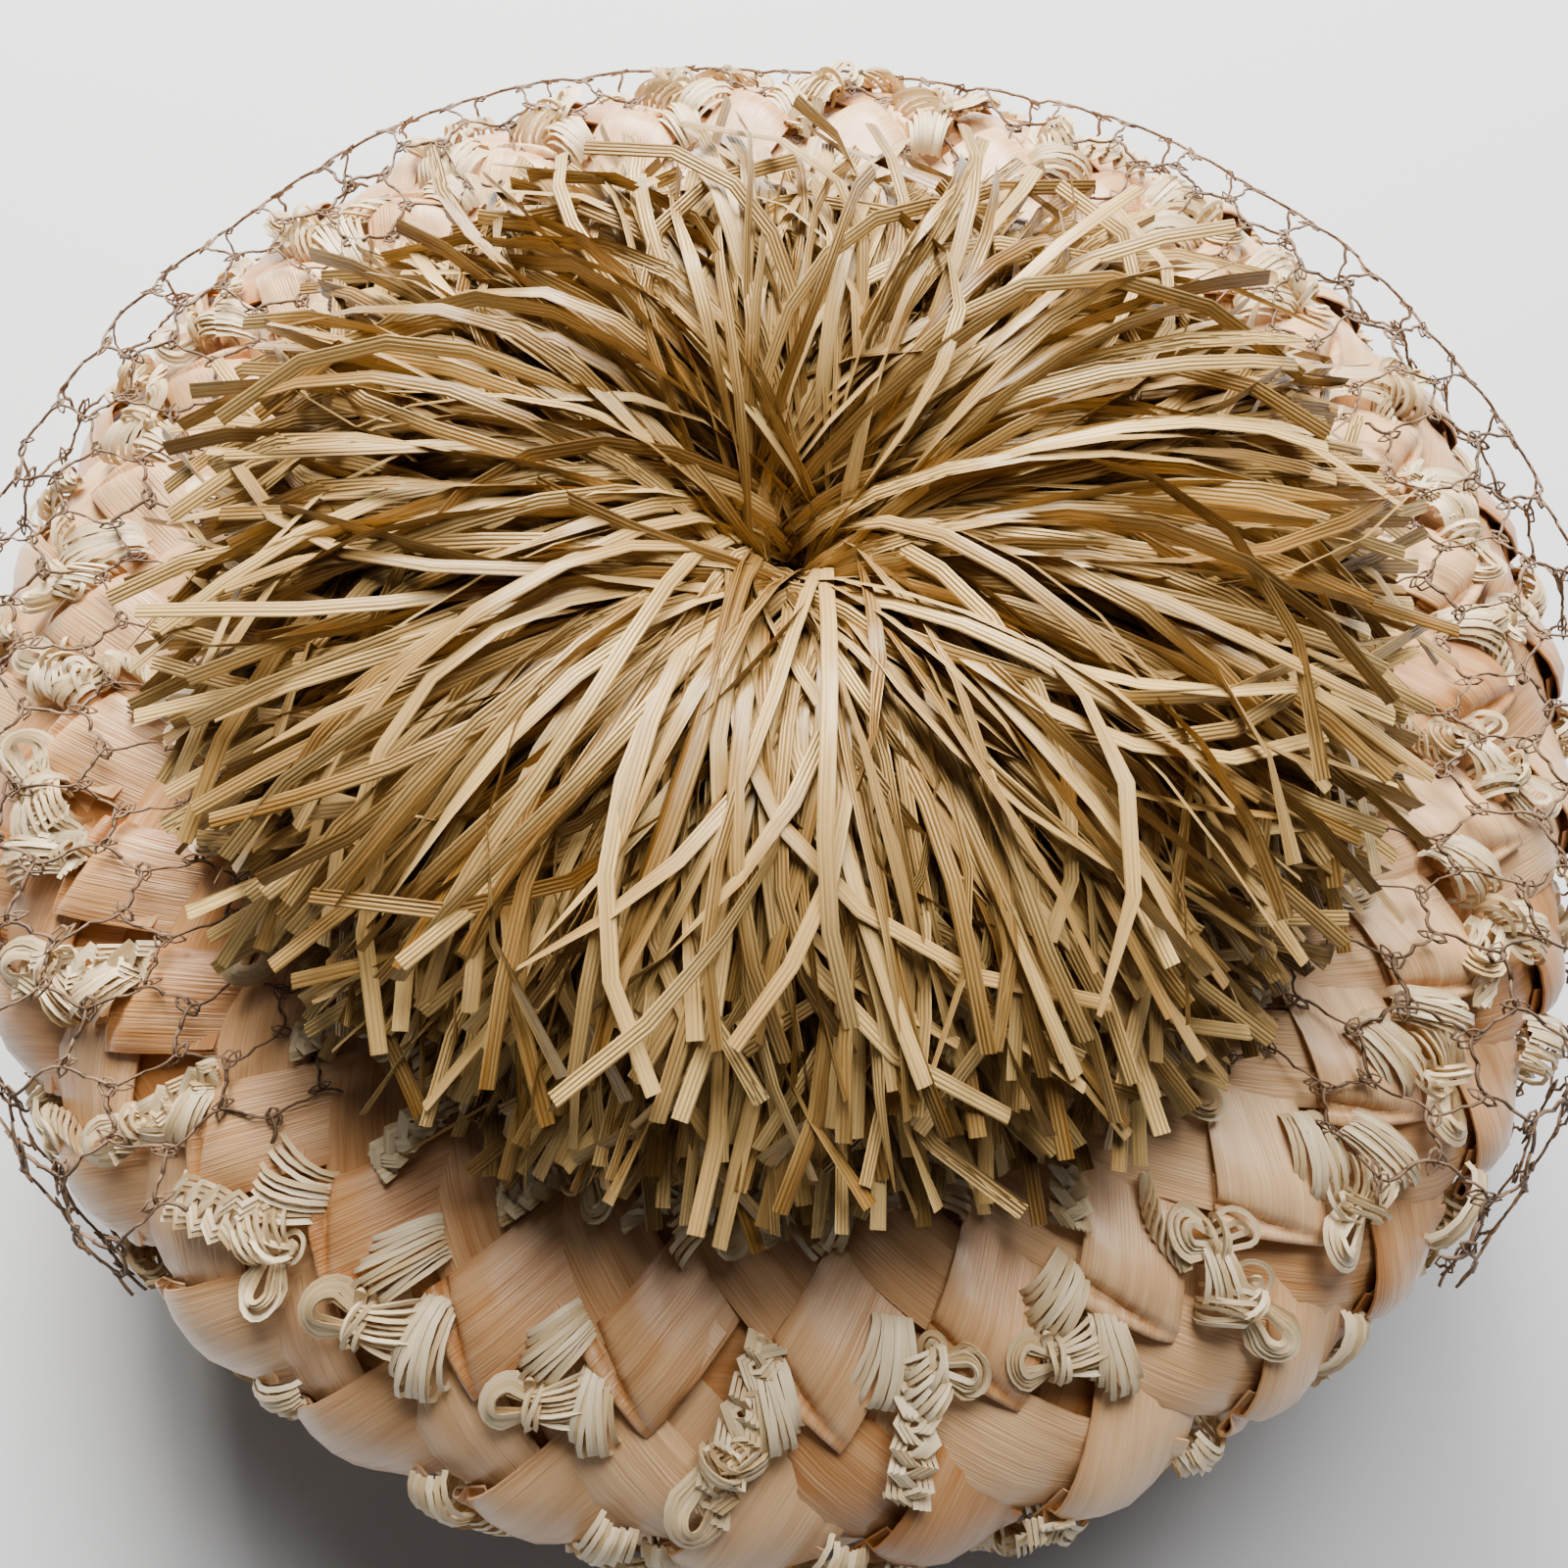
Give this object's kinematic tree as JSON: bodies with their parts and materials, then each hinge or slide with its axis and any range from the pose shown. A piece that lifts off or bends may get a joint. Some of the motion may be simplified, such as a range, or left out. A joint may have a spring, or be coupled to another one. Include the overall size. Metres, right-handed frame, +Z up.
{
  "type": "pillbox hat",
  "caption": "Round straw pillbox hat with plaited, toothed courses, cream raffia trim, a large straw-ribbon pompom on top and a hexagonal veil net.",
  "frame": {"origin": "centre of the bottom of the hat's box, on the surface that the rim rests on; the crown's axis is 1.9 mm in front of it", "axes": "+Z up through the pompom, -Y towards the front, where the veil is open, +X to the right as seen from the front"},
  "size_m": [0.1953, 0.1926, 0.109],
  "materials": {
    "plaited_straw": "satin",
    "cream_raffia": "matte",
    "straw_ribbon": "glossy",
    "veil_thread": "matte"
  },
  "bodies": {
    "root": {"crown": "plaited_straw", "raffia_rope_1": "cream_raffia", "raffia_rope_2": "cream_raffia", "raffia_rope_3": "cream_raffia", "raffia_rope_4": "cream_raffia", "straw_mop": "straw_ribbon", "veil": "veil_thread"}
  },
  "joints": []
}
